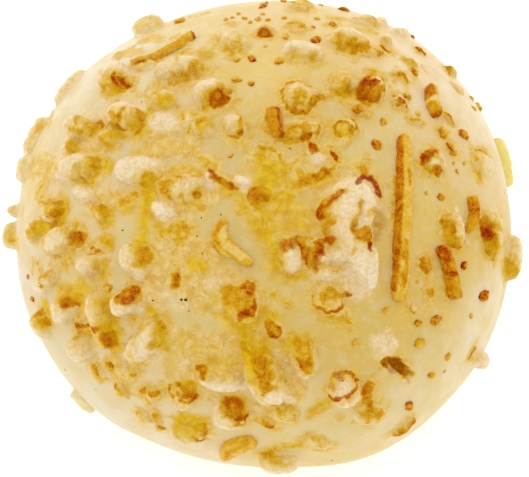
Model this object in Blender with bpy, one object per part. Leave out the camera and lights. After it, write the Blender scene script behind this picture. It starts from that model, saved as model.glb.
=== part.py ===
"""Cheese bun: a round yeast roll, baked with grated cheese that has melted into lumps and browned shreds.

Blender 4.5, metres, +Z up. The bun stands on its flat base, whose centre is the origin. Sizes below are in
millimetres. A place on the crust is a bearing and a drop, both in degrees: the bearing runs anticlockwise
from +X, and the drop is 0 at the crown, 90 at the widest level and 135 at the rim of the base.
"""

import math

import bmesh
import bpy
from mathutils import Matrix, Vector, noise

MM = 0.001

# Bun
BUN_RADIUS = 49.0
WIDEST_LEVEL = 21.0
CROWN_RISE = 32.0
BELLY_DEPTH = 29.0
FULLNESS = 2.15
BASE_DROP = 135.0
BUN_SEGMENTS = 56
BUN_RINGS = 30
BASE_RINGS = 2
# Hand-shaped unevenness of the outline: bearing, spread, and share of the radius.
SWELLS = (
    (50, 34, 0.055),
    (150, 26, 0.03),
    (195, 16, 0.02),
    (228, 16, 0.02),
    (256, 30, -0.034),
    (293, 12, 0.02),
    (322, 26, 0.022),
)
RELIEF_DEPTH = 0.4
RELIEF_LENGTH = 22.0
SLOPE_STEP = 0.01

# Torn blister in the crust, open to the crumb
PIT_PLACE = (306, 57)
PIT_LENGTH = 4.2
PIT_WIDTH = 3.2
PIT_DEPTH = 2.2
PIT_SEGMENTS = 12
PIT_RINGS = 8

# Cheese
CLEARANCE = 0.3
WAY_STEP = 0.05
LUMP_SEGMENTS = 10
LUMP_RINGS = 6
LUMP_SECTION = 2.3
LUMP_ENDS = 2.2
LUMP_UNEVENNESS = 0.14
UNEVEN_LENGTH = 5.0
SHRED_SEGMENTS = 8
SHRED_RINGS_PER_PLACE = 3
SHRED_SECTION = 4.0
SHRED_ENDS = 5.0
SHRED_UNEVENNESS = 0.08

# Each lump runs over the crust from its first place to its last: name, places, width, height.
LUMPS = (
    # upper left
    ("lump_brow", ((125, 67), (117, 64)), 7.0, 3.0),
    ("lump_brow_low", ((150, 75), (139, 72)), 6.0, 1.4),
    ("lump_charred", ((145.5, 49.5), (136.5, 45.5)), 8.8, 3.2),
    ("lump_long", ((133.5, 37), (116.5, 30)), 5.4, 2.8),
    ("lump_fin", ((130, 24), (113, 20)), 5.8, 2.8),
    ("lump_wrinkled", ((154, 41), (152.5, 29.5)), 6.2, 2.8),
    ("lump_pillow", ((159, 53.5), (160, 42)), 5.4, 2.6),
    # left flank
    ("lump_edge_high", ((152.5, 79), (163.5, 80)), 6.6, 2.0),
    ("lump_edge_mid", ((164.5, 74.5), (171, 73.5)), 7.0, 1.9),
    ("lump_arched", ((173, 54), (173.5, 38)), 6.4, 2.8),
    ("lump_ridge", ((175, 34), (179, 20.5)), 6.4, 2.0),
    ("lump_eyelet", ((181.5, 54.5), (187.5, 54)), 5.6, 2.4),
    ("lump_yolk", ((184, 63.5), (190, 63)), 5.6, 1.8),
    ("lump_knuckle", ((193.5, 59.5), (194.5, 45.5)), 5.4, 3.2),
    ("lump_under_knuckle", ((200.5, 69.5), (201, 57)), 3.8, 2.2),
    ("lump_ear", ((177.5, 88), (184, 90)), 6.2, 2.9),
    ("lump_pearl", ((202, 44.5), (208.5, 46.5)), 6.2, 3.0),
    ("lump_rough", ((198, 18.5), (185, 12.5)), 6.0, 1.6),
    ("lump_saddle", ((207, 33.5), (217.5, 36)), 5.6, 2.2),
    # lower left
    ("lump_shelf", ((206.5, 60.5), (213.5, 62.5)), 5.8, 2.8),
    ("lump_finger", ((212, 49.5), (219, 52), (227, 58)), 4.6, 2.8),
    ("lump_thumb", ((216.5, 65), (223.5, 66)), 5.4, 3.0),
    ("lump_edge_low", ((204, 76), (210.5, 77)), 5.4, 2.4),
    ("lump_capped", ((219, 43), (225.5, 45.5)), 5.6, 3.0),
    ("lump_twin", ((236, 44), (233.5, 50), (232.5, 57)), 5.2, 3.2),
    # foot
    ("lump_scorched", ((262, 25.5), (262, 36.5)), 6.2, 2.0),
    ("lump_drift", ((267.5, 42), (273, 59)), 7.4, 3.4),
    ("lump_drift_right", ((281, 40), (283, 50)), 5.4, 2.8),
    ("lump_slab", ((251, 52.5), (264, 52)), 5.4, 2.2),
    ("lump_biscuit", ((245.5, 62), (252, 61.5)), 6.0, 1.7),
    ("lump_split", ((257, 65), (266, 63.5)), 5.8, 2.6),
    ("lump_apron", ((247.5, 74.5), (256, 75.5)), 7.0, 1.8),
    ("lump_chin", ((268.5, 85), (278.5, 85.5)), 7.4, 2.8),
    ("lump_ring_low", ((287, 57), (295, 56)), 7.0, 2.4),
    # middle
    ("lump_blister_mid", ((291, 32.5), (300.5, 32)), 5.6, 1.4),
    ("lump_button", ((289, 15.5), (284, 23.5)), 4.8, 2.2),
    # top
    ("lump_scab", ((105.5, 36), (96.5, 37)), 6.4, 1.8),
    ("lump_lid", ((83, 32.5), (66, 32.5)), 4.8, 1.8),
    ("lump_step", ((68, 40.5), (55, 42)), 5.6, 2.4),
    ("lump_ring", ((77, 18), (56, 18.5)), 7.0, 1.8),
    ("lump_pair_left", ((57, 26), (49, 27)), 6.2, 2.2),
    ("lump_pair_right", ((45, 33.5), (40, 28)), 6.0, 2.4),
    # right flank
    ("lump_arc", ((14, 39), (4, 41)), 4.8, 1.8),
    ("lump_arc_low", ((352.5, 45.5), (342.5, 49)), 4.2, 2.0),
    ("lump_patch", ((358, 61.5), (346, 64)), 5.6, 2.2),
    ("lump_edge_right", ((357, 79), (346, 83)), 6.2, 2.6),
)

# The largest lump changes width on its way: places, widths at them, height.
BOOT_PLACES = ((354, 15.5), (340, 18.5), (324, 22), (311.5, 35))
BOOT_WIDTHS = (9.0, 12.0, 10.0, 5.4)
BOOT_HEIGHT = 4.0

# Grated shreds that kept their shape: name, material, places, widths from first place to last, height.
SHREDS = (
    ("shred_long", "toasted", ((20, 32.5), (0, 31), (-21, 32.6), (-34, 36.5), (-43.5, 42)), (3.4, 3.4), 1.8),
    ("shred_thick", "toasted", ((-19, 44), (-25, 49.5), (-30.5, 56)), (3.3, 3.3), 2.2),
    ("shred_hook", "golden", ((235.9, 13), (234.8, 15.8), (241.5, 18.1), (252, 19.5), (263.5, 21.5)), (1.6, 2.8, 1.8), 1.3),
    ("shred_curved", "toasted", ((134.5, 47.3), (130.6, 43.5), (124.8, 42), (118.5, 42.7), (112.3, 45.2)), (1.0, 1.1, 1.6, 2.5), 1.8),
    ("shred_stub", "toasted", ((83, 14.5), (78, 10.5), (69, 7)), (2.6, 2.6), 1.5),
    ("shred_flank", "toasted", ((360, 52.5), (354, 53.5), (348, 52)), (2.8, 1.6), 1.6),
    ("shred_wedge", "golden", ((34.5, 49), (29.5, 46), (24.5, 45.7)), (2.4, 2.2), 1.6),
    ("shred_fold", "golden", ((268, 74), (263, 78.5), (260.5, 86.5)), (2.6, 4.2, 2.0), 1.4),
    ("shred_yellow", "raw", ((22.5, 82), (12, 91)), (3.6, 4.2), 2.0),
    ("shred_pale", "raw", ((220.5, 93), (223, 99), (225.5, 104)), (1.4, 2.2), 1.6),
)


def clear_scene():
    for thing in list(bpy.data.objects):
        bpy.data.objects.remove(thing, do_unlink=True)


def signed_power(value, exponent):
    return math.copysign(abs(value) ** exponent, value)


def plan_radius(bearing):
    """Radius of the outline at the widest level, on a bearing in degrees."""
    share = 1.0
    for middle, spread, amount in SWELLS:
        away = (bearing - middle + 180) % 360 - 180
        share += amount * math.exp(-((away / spread) ** 2))
    return BUN_RADIUS * share


def on_crust(direction):
    """The crust's point in a direction from the middle of the widest level."""
    unit = direction.normalized()
    bearing = math.degrees(math.atan2(unit.y, unit.x))
    flat = math.hypot(unit.x, unit.y) / plan_radius(bearing)
    upright = abs(unit.z) / (CROWN_RISE if unit.z > 0 else BELLY_DEPTH)
    reach = (flat**FULLNESS + upright**FULLNESS) ** (-1 / FULLNESS)
    reach += RELIEF_DEPTH * noise.noise(unit * (BUN_RADIUS / RELIEF_LENGTH))
    return Vector((0, 0, WIDEST_LEVEL)) + unit * reach


def direction_of(bearing, drop):
    turn = math.radians(bearing)
    fall = math.radians(drop)
    flat = plan_radius(bearing) * math.sin(fall) ** (2 / FULLNESS)
    upright = (CROWN_RISE if drop < 90 else BELLY_DEPTH) * signed_power(math.cos(fall), 2 / FULLNESS)
    return Vector((flat * math.cos(turn), flat * math.sin(turn), upright))


def crust_frame(direction):
    """The crust's point in a direction, and the unit vector that points straight out of it there."""
    unit = direction.normalized()
    aside = unit.cross(Vector((0, 0, 1)) if abs(unit.z) < 0.9 else Vector((0, 1, 0))).normalized()
    point = on_crust(unit)
    first = on_crust(unit + aside * SLOPE_STEP) - point
    second = on_crust(unit + aside.cross(unit) * SLOPE_STEP) - point
    out = first.cross(second).normalized()
    return point, out if out.dot(unit) > 0 else -out


def eased(values, share):
    """Catmull-Rom value at a share, from 0 to 1, of the way along the given values."""
    position = min(max(share, 0.0), 1.0) * (len(values) - 1)
    index = min(int(position), len(values) - 2)
    rest = position - index
    before, start, end, after = (values[min(max(index + k, 0), len(values) - 1)] for k in (-1, 0, 1, 2))
    slope = (end - before) / 2
    next_slope = (after - start) / 2
    bend = 3 * (end - start) - 2 * slope - next_slope
    twist = slope + next_slope - 2 * (end - start)
    return start + rest * (slope + rest * (bend + rest * twist))


def place_at(places, share):
    return direction_of(eased([p[0] for p in places], share), eased([p[1] for p in places], share))


def ball_mesh(segments, rings):
    shape = bmesh.new()
    bmesh.ops.create_uvsphere(shape, u_segments=segments, v_segments=rings, radius=1)
    return shape


def finished(name, shape, material, collection):
    """An object from a mesh whose sizes are in millimetres."""
    bmesh.ops.scale(shape, vec=Vector((MM, MM, MM)), verts=shape.verts)
    bmesh.ops.recalc_face_normals(shape, faces=shape.faces)
    mesh = bpy.data.meshes.new(name)
    shape.to_mesh(mesh)
    shape.free()
    mesh.shade_smooth()
    mesh.materials.append(material)
    thing = bpy.data.objects.new(name, mesh)
    collection.objects.link(thing)
    return thing


def make_bun(material, collection):
    """A ball moved out to the crust, with its lowest rings laid flat as the base."""
    shape = ball_mesh(BUN_SEGMENTS, BUN_RINGS)
    last_side_angle = math.pi * (BUN_RINGS - BASE_RINGS) / BUN_RINGS
    for vert in shape.verts:
        angle = math.acos(max(-1.0, min(1.0, vert.co.z)))
        bearing = math.degrees(math.atan2(vert.co.y, vert.co.x))
        drop = BASE_DROP * min(angle / last_side_angle, 1.0)
        rim = on_crust(direction_of(bearing, drop))
        inward = max(0.0, (angle - last_side_angle) / (math.pi - last_side_angle))
        on_base = drop > BASE_DROP - 1
        vert.co = Vector((rim.x * (1 - inward), rim.y * (1 - inward), 0 if on_base else rim.z))
    return finished("bun", shape, material, collection)


def cut_pit(bun, material, collection):
    """The torn blister: an egg-shaped hollow sunk square into the crust."""
    point, out = crust_frame(direction_of(*PIT_PLACE))
    shape = ball_mesh(PIT_SEGMENTS, PIT_RINGS)
    bmesh.ops.scale(shape, vec=Vector((PIT_LENGTH / 2, PIT_WIDTH / 2, PIT_DEPTH)), verts=shape.verts)
    stand = out.to_track_quat("Z", "Y").to_matrix().to_4x4()
    bmesh.ops.transform(shape, matrix=Matrix.Translation(point) @ stand, verts=shape.verts)
    cutter = finished("pit_cutter", shape, material, collection)
    cutter.hide_render = True
    cutter.display_type = "WIRE"
    cut = bun.modifiers.new("pit", "BOOLEAN")
    cut.operation = "DIFFERENCE"
    cut.object = cutter


def make_cheese(name, places, widths, height, form, material, collection):
    """Cheese laid over the crust along its places: a ball whose poles are the two tips, flat underneath.

    form is (segments, rings, section, ends, unevenness): section and ends are 2 for round and more for boxy.
    """
    segments, rings, section, ends, unevenness = form
    shape = ball_mesh(segments, rings)
    own_seed = Vector((sum(map(ord, name)) % 97, len(name), 0))
    middle = Vector((0, 0, WIDEST_LEVEL))
    for vert in shape.verts:
        radius = math.hypot(vert.co.x, vert.co.y)
        share = (1 + vert.co.z) / 2
        across = up = 0.0
        if radius > 1e-6:
            full = (1 - abs(vert.co.z) ** ends) ** (1 / ends)
            across = full * signed_power(vert.co.x / radius, 2 / section)
            up = full * signed_power(vert.co.y / radius, 2 / section)
        centre, out = crust_frame(place_at(places, share))
        ahead = on_crust(place_at(places, min(share + WAY_STEP, 1)))
        behind = on_crust(place_at(places, max(share - WAY_STEP, 0)))
        sideways = out.cross(ahead - behind).normalized()
        swell = 1 + unevenness * noise.noise(centre / UNEVEN_LENGTH + own_seed + vert.co)
        foot = centre + sideways * (across * swell * eased(widths, share) / 2)
        foot, out = crust_frame(foot - middle)
        vert.co = foot + out * (CLEARANCE + max(up, 0.0) * swell * height)
    return finished(name, shape, material, collection)


def make_material(name, colour, roughness):
    material = bpy.data.materials.new(name)
    material.use_nodes = True
    shader = material.node_tree.nodes["Principled BSDF"]
    shader.inputs["Base Color"].default_value = (*colour, 1)
    shader.inputs["Roughness"].default_value = roughness
    shader.inputs["Metallic"].default_value = 0.0
    return material


def make_collection(name):
    collection = bpy.data.collections.new(name)
    bpy.context.scene.collection.children.link(collection)
    return collection


def main():
    clear_scene()
    parts = make_collection("cheese_bun")
    cutters = make_collection("cutters")
    crust = make_material("baked_crust", (0.66, 0.46, 0.18), 0.5)
    melted = make_material("melted_cheese", (0.74, 0.53, 0.24), 0.45)
    shred_materials = {
        "toasted": make_material("toasted_cheese", (0.50, 0.22, 0.02), 0.45),
        "golden": make_material("golden_cheese", (0.62, 0.36, 0.06), 0.45),
        "raw": make_material("raw_cheese", (0.80, 0.68, 0.25), 0.4),
    }
    bun = make_bun(crust, parts)
    cut_pit(bun, crust, cutters)
    lump_form = (LUMP_SEGMENTS, LUMP_RINGS, LUMP_SECTION, LUMP_ENDS, LUMP_UNEVENNESS)
    for name, places, width, height in LUMPS:
        make_cheese(name, places, (width, width), height, lump_form, melted, parts)
    boot_form = (LUMP_SEGMENTS, LUMP_RINGS * 2, LUMP_SECTION, LUMP_ENDS, LUMP_UNEVENNESS)
    make_cheese("lump_boot", BOOT_PLACES, BOOT_WIDTHS, BOOT_HEIGHT, boot_form, melted, parts)
    for name, kind, places, widths, height in SHREDS:
        rings = SHRED_RINGS_PER_PLACE * len(places)
        shred_form = (SHRED_SEGMENTS, rings, SHRED_SECTION, SHRED_ENDS, SHRED_UNEVENNESS)
        make_cheese(name, places, widths, height, shred_form, shred_materials[kind], parts)


main()
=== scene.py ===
"""Cheese bun: the looks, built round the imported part. Blender 4.5, metres, +Z up.

A place on the crust is a bearing and a drop, both in degrees: the bearing runs anticlockwise from +X, and the
drop is 0 at the crown, 90 at the widest level and 135 at the rim of the base. Sizes are millimetres, unless a
table says otherwise.
"""

import math
import random
from functools import partial

import bpy
import numpy as np
from mathutils import Matrix, Vector, noise
from mathutils.bvhtree import BVHTree


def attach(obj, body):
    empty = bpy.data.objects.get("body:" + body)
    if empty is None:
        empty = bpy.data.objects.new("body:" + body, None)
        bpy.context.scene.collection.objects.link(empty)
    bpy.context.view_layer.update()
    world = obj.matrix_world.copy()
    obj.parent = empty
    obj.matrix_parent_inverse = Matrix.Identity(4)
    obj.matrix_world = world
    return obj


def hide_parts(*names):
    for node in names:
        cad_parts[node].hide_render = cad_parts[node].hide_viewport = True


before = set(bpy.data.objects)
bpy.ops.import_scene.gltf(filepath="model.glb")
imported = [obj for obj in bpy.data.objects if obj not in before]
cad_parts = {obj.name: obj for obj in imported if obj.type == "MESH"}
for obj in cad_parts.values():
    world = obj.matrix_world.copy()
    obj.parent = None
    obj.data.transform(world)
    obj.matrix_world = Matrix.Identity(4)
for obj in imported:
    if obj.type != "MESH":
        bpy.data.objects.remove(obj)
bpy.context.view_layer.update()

# The noise that makes strokes wander starts from the time of day unless it is given a seed
noise.seed_set(7)

MM = 0.001

# Bun, as in the part. A swell is a bearing, how far it spreads and its share of the radius.
BUN_RADIUS = 49.0
WIDEST_LEVEL = 21.0
CROWN_RISE = 32.0
BELLY_DEPTH = 29.0
FULLNESS = 2.15
SWELLS = (
    (50, 34, 0.055),
    (150, 26, 0.03),
    (195, 16, 0.02),
    (228, 16, 0.02),
    (256, 30, -0.034),
    (293, 12, 0.02),
    (322, 26, 0.022),
)
MIDDLE = Vector((0, 0, WIDEST_LEVEL * MM))

# Limits: a lump shorter than this is a dab and takes this heading, and faces that lean in further look inward
NO_LENGTH = 1e-6
DAB_HEADING = Vector((0.3, 1, 0.2))
INWARD = -0.2

# Crust skin: voxels, how far lumps are pulled in, smoothing, how far strokes wander, and thinning of the plain parts
VOXEL = 0.36
ROOT_PINCH = 0.955
SMOOTHING_ROUNDS = 8
WANDER = 0.45
MOST_TRIANGLES = 192000
PLAIN_RISE = 0.7
CHEESE_WEIGHT = 0.05

# Strands: the same, then their finish: name, colour where raw, grain, and how far light sinks in. Toasted strands
# look crisp and brown, golden ones pliant, raw ones waxy and yellow, and the pale one like young cheese.
STRAND_VOXEL = 0.24
STRAND_PINCH = 0.985
STRAND_WANDER = 0.12
STRAND_FINISHES = {
    "toasted_cheese": ("toasted_strand", "#E8C67A", 0.28, 0.15),
    "golden_cheese": ("golden_strand", "#EBD08A", 0.25, 0.2),
    "raw_cheese": ("raw_strand", "#F3E083", 0.25, 0.3),
    "shred_pale": ("pale_strand", "#F2E4B4", 0.25, 0.3),
}

# Where a stroke starts to fade and where it ends, as shares of half its width
MILK_FADE = (0.4, 1.4)
SHEET_FADE = (0.5, 1.5)
FLAKE_FADE = (0.6, 1.1)
FLAKE_OIL_FADE = (0.4, 1.1)
OIL_FADE = (0.5, 1.6)
WASH_FADE = (0.0, 1.2)
HALO_FADE = (0.1, 1.0)
RIM_FADE = (0.7, 1.0)
CORE_FADE = (0.6, 1.3)
SOFT_FADE = (0.2, 1.5)
GROOVE_FADE = (0.3, 1.3)

# What strokes reach beyond their width: bared crust, golden halo, thin film, wash, and the crust kept fine for them
BARED_MARGIN = 5
HALO_MARGIN = 3.8
FILM_MARGIN = 0.8
WASH_MARGIN = 1.5
FINE_MARGIN = 1.6

# Toasting deeper than this has a firm core, and milky cheese is whitened this far
CORE_DEPTH = 0.72
MILKINESS = 0.75

# Depth of toasting, as in the tables, and its colour
TOASTING = (
    (0.0, "#F0DCA8"),
    (0.2, "#EDD08C"),
    (0.35, "#E7C25E"),
    (0.5, "#E0B236"),
    (0.6, "#DBA71E"),
    (0.7, "#D69C10"),
    (0.8, "#D09008"),
    (0.9, "#C98004"),
    (1.0, "#C26A00"),
    (1.1, "#B95400"),
    (1.2, "#AA3E00"),
    (1.3, "#962600"),
)
DEEPEST = 1.3

# What lies over the bare crust, lowest first: value that carries it, size of its clouds, where they start and
# end, their two colours, and how far it covers. Dough shows in its clouds only, so it has one colour.
DOUGH_LAYERS = (
    ("dough", 5.0, 0.42, 0.62, "", "#DCBA5C", 0.4),
    ("dough", 2.6, 0.5, 0.66, "", "#DCCFA6", 0.35),
    ("dough", 1.1, 0.5, 0.72, "", "#F2E3C2", 0.12),
    ("film", 1.7, 0.38, 0.6, "#F0DB9C", "#DEB238", 0.8),
    ("film", 0.6, 0.5, 0.62, "#EBC26E", "#E6AC58", 0.3),
    ("creased film", 1.0, 0.0, 1.0, "#DDA844", "#DDA844", 0.55),
    ("cheese", 1.0, 0.38, 0.62, "#F0D6A4", "#F8E8C6", 0.78),
    ("creased cheese", 1.0, 0.0, 1.0, "#E2B264", "#E2B264", 0.4),
    # Butter layer: golden fat, and also painted shade in the hollows round the lumps and in the creases
    ("butter_and_hollow_shade", 1.6, 0.35, 0.62, "#E8C662", "#DDAC2C", 0.8),
    ("browned", 0, 0, 0, "", "", 1.0),
    ("milk", 0.9, 0.4, 0.6, "#F1D9AE", "#FAECD0", 1.0),
    ("fat", 1.6, 0.38, 0.62, "#E4BE06", "#D8A400", 0.95),
)

# Torn hole in the crust: places, then width and depth of the hole, and width and toasting of its lip
TEAR = ((304.2, 53.6), (306.5, 57), (307.7, 60.7))
TEAR_HOLE = (2.3, 1.1)
TEAR_LIP = (3.2, 0.82)

# Light tent: overall level, its brightest, and how it leans to the left, the back and below
LIGHT_LEVEL = 1.6
LIGHT_PEAK = 1.48
LIGHT_LEAN = (-0.16, 0.44, -0.42)

# Camera: lens in millimetres, degrees above the table, how far off and what it looks at
LENS = 153.1
CAMERA_ELEVATION = 68.0
CAMERA_DISTANCE = 450 * MM
CAMERA_TARGET = Vector((0, -1.76 * MM, 23.3 * MM))

# Colour of the bare crust: colour, how far it reaches, the place it is strongest
BAKE_TINTS = (
    ("#D6BA74", 14, (0, 0)), ("#D8C08A", 8, (170, 15)), ("#DCC076", 10, (249, 18)), ("#D9C588", 9, (209, 39)),
    ("#DDCFAA", 9, (224, 72)), ("#E0D3B9", 8, (231, 81)), ("#E2CA92", 7, (236, 62)), ("#D8C69A", 7, (212, 69)),
    ("#E3D2B1", 8, (245, 88)), ("#E1C98E", 9, (279, 70)), ("#E6D1A1", 8, (309, 72)), ("#EAD8B0", 9, (326, 84)),
    ("#DABA62", 9, (310, 47)), ("#DEBD68", 9, (345, 38)), ("#E6CA7E", 9, (339, 28)), ("#E2C888", 8, (359, 26)),
    ("#E5C78E", 8, (14, 55)), ("#E7C97A", 10, (97, 26)), ("#E9D5A2", 8, (109, 51)), ("#E5CA90", 8, (97, 54)),
    ("#EACC90", 9, (72, 53)), ("#F0D8B6", 8, (43, 60)), ("#EEDAB6", 8, (30, 60)), ("#EDDEBB", 8, (24, 70)),
    ("#E6D2A4", 8, (137, 32)), ("#EBDFC6", 9, (135, 62)), ("#E6D4AE", 9, (152, 60)), ("#D8C298", 7, (165, 25)),
    ("#E7CE9C", 7, (170, 66)), ("#E6CFA4", 7, (187, 41)), ("#E0D4C0", 8, (197, 80)), ("#E1CEAA", 7, (193, 69)),
    ("#EFD6A8", 16, (90, 86)), ("#E4C68C", 24, (0, 180)),
)

# Grated strands: node, slot, depth of colour on top and along the edges, width, hollow of the top, swelling, places
STRANDS = (
    (
        "shred_long", "toasted_cheese", 0.46, 0.66, 3.9, 0.35, 0.1,
        (20, 32.5), (0, 31), (-21, 32.6), (-34, 36.5), (-43.5, 42),
    ),
    ("shred_thick", "toasted_cheese", 0.74, 0.86, 3.2, 0.1, -0.22, (-19, 44), (-25, 49.5), (-30.5, 56)),
    (
        "shred_hook", "golden_cheese", 0.35, 0.6, 2.6, 0.45, 0.35,
        (235.9, 13), (234.8, 15.8), (241.5, 18.1), (252, 19.5), (263.5, 21.5),
    ),
    ("shred_curved", "toasted_cheese", 0.3, 0.52, 1.5, 0.05, -0.3, (134.5, 47.3), (124.8, 42), (112.3, 45.2)),
    ("shred_stub", "toasted_cheese", 0.78, 0.95, 3.0, 0.3, 0.2, (83, 14.5), (78, 10.5), (69, 7)),
    ("shred_flank", "toasted_cheese", 0.7, 0.76, 2.6, 0.1, -0.15, (0, 52.5), (-6, 53.5), (-12, 52)),
    ("shred_wedge", "golden_cheese", 0.5, 0.7, 2.4, 0.15, 0.2, (34.5, 49), (29.5, 46), (24.5, 45.7)),
    ("shred_fold", "golden_cheese", 0.52, 0.55, 4.0, 0.1, 0.15, (268, 74), (263, 78.5), (260.5, 86.5)),
    ("shred_yellow", "raw_cheese", 0.0, 0.22, 4.4, 0.2, 0.1, (22.5, 82), (12, 91)),
    ("shred_pale", "raw_cheese", 0.04, 0.14, 2.4, 0.0, -0.2, (220.5, 93), (225.5, 104)),
)

# Toasting on the strands: depth of colour, stroke width, places
STRAND_TOAST = {
    "shred_long": (
        (0.92, 0.5, (19.8, 30.7), (4.2, 28.7), (-14.3, 29.3), (-30.3, 32.3), (-42.2, 38)),
        (0.86, 1.0, (3, 30.4), (-3, 30.6)), (0.9, 1.6, (-29.7, 33.5), (-31, 34)),
        (0.92, 1.6, (-36.5, 36.6), (-38.5, 38)), (0.78, 1.4, (-26, 33), (-36, 37)),
        (0.62, 2.6, (-42, 41), (-43.5, 42)), (0.9, 0.5, (21, 31), (19, 34)),
    ),
    "shred_thick": (
        (1.06, 1.5, (-23.2, 44.7), (-20.5, 43)), (1.02, 1.4, (-26.2, 47.5), (-25.5, 48.5)),
        (0.74, 1.8, (-28, 52), (-29.5, 54)),
    ),
    "shred_hook": (
        (0.7, 1.3, (236, 13), (233.2, 14), (234.5, 16.9), (240, 18.4)),
        (0.6, 0.7, (241, 18.6), (252.8, 20.3), (260.9, 21.6)), (0.62, 1.6, (259, 20.5), (263.5, 21.5)),
    ),
    "shred_curved": ((1.05, 1.4, (112.7, 42.9), (112.3, 45.6)), (0.62, 0.5, (118.5, 43.9), (124.8, 43.2))),
    "shred_stub": ((1.1, 0.7, (80, 14), (74, 10), (66, 7.2)),),
    "shred_wedge": (
        (1.0, 0.9, (34.5, 46.4), (31, 45.1)), (0.1, 1.3, (29.8, 44.6)), (1.0, 1.4, (24.8, 44.6), (24.4, 45.9)),
    ),
    "shred_flank": ((0.92, 1.4, (-3, 51.5), (-7, 52.6)), (0.62, 1.4, (-11.6, 51.5), (-12.5, 52))),
    "shred_fold": ((1.02, 1.2, (259.5, 88)), (0.74, 1.0, (261, 83), (262, 78), (266, 73.5))),
    "shred_yellow": ((0.45, 1.6, (22.5, 80), (21, 83)),),
}


def strokes(text, *units):
    """Rows of a table, parted by commas: values that count so many to the unit, then the first place and the steps
    from each place to the next, in half degrees."""
    rows = []
    for row in text.split(","):
        numbers = [int(word) for word in row.split()]
        values = [number / unit for number, unit in zip(numbers, units)]
        places = np.cumsum(np.reshape(numbers[len(units) :], (-1, 2)), axis=0) / 2
        rows.append((*values, *map(tuple, places.tolist())))
    return rows


# Lumps too small for the CAD: width and height in tenths of a millimetre
SMALL_LUMPS = strokes("""
30 12 268 91 -6 -8,24 9 267 117 -3 -3,40 20 279 59 -1 -5,36 18 324 76 2 -6,30 18 327 100 6 -4,50 8 301 54 -4 -10,
30 10 227 72 -4 -3,36 18 180 81,40 16 164 109 -7 4,17 11 163 86 -8 0,15 8 159 80 -5 3,40 16 132 78 -8 3,
46 18 280 39 4 -8,36 18 241 26 -5 -5,40 20 115 19 -29 7,32 16 68 38 -7 3,22 11 62 36 -18 -2,36 16 128 109 -7 7,
22 12 122 140 -5 -15,24 14 109 119 -3 14,30 18 107 100,22 12 110 80 -5 4,16 11 90 98 -5 2,18 12 87 83 -7 1,
18 14 79 134 -4 0,19 9 68 122 -3 5,16 10 76 48 -8 2,22 16 66 70 -3 2,16 10 49 75 -3 3,12 9 51 98 -6 3,
46 15 20 116 1 7,34 13 362 88 5 -6,12 26 370 102 3 3,26 24 353 164,26 20 378 77 9 -2,22 8 403 76,
34 22 426 65 10 6,34 18 397 47 10 -3,34 16 373 41 21 -6,10 20 368 22 25 -1,16 10 408 10 25 -2,24 13 501 11 45 -1,
30 8 31 19 -3 3,26 12 606 39 11 0,20 22 606 44 -3 2,26 20 617 46 6 2,26 16 593 49 14 4,12 8 606 63 2 3,
22 14 679 44,26 18 644 43 7 3,17 10 667 81 -4 5,22 10 653 94,16 10 689 90 -4 6,24 14 452 136 3 -1,
16 8 463 125 4 0,14 9 468 122 3 -3,22 14 466 136 2 2,16 10 477 129 3 -1,17 11 482 129 3 -1,16 10 482 134 2 1,
24 12 480 149 3 4,18 11 486 144 2 4,26 16 545 71 6 4,30 10 547 125 6 2,18 10 539 130 4 4,28 8 562 148 6 8,
36 24 651 165 6 17,18 16 590 118 5 -3,44 18 588 133 6 4,20 18 600 164 9 -3
""", 10, 10)

# Creases pressed into the skin: depth in hundredths of a millimetre, width in tenths
GROOVES = strokes("""
35 24 283 82,40 12 305 65 7 1 5 3,25 12 315 88 7 -2,25 12 314 85 7 -2,25 8 85 107 -6 -2,35 12 86 55 -5 1,
30 10 348 81 7 3,50 12 675 38 -10 3 -16 0,40 10 544 114 10 6,30 10 506 98 20 0,25 10 507 101 20 0,
30 8 598 110 8 -2,110 18 672 54 -23 0,60 14 649 46 -4 5,30 10 348 81 7 3,90 26 678 53 -14 -4 -7 4
""", 100, 10)

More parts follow.
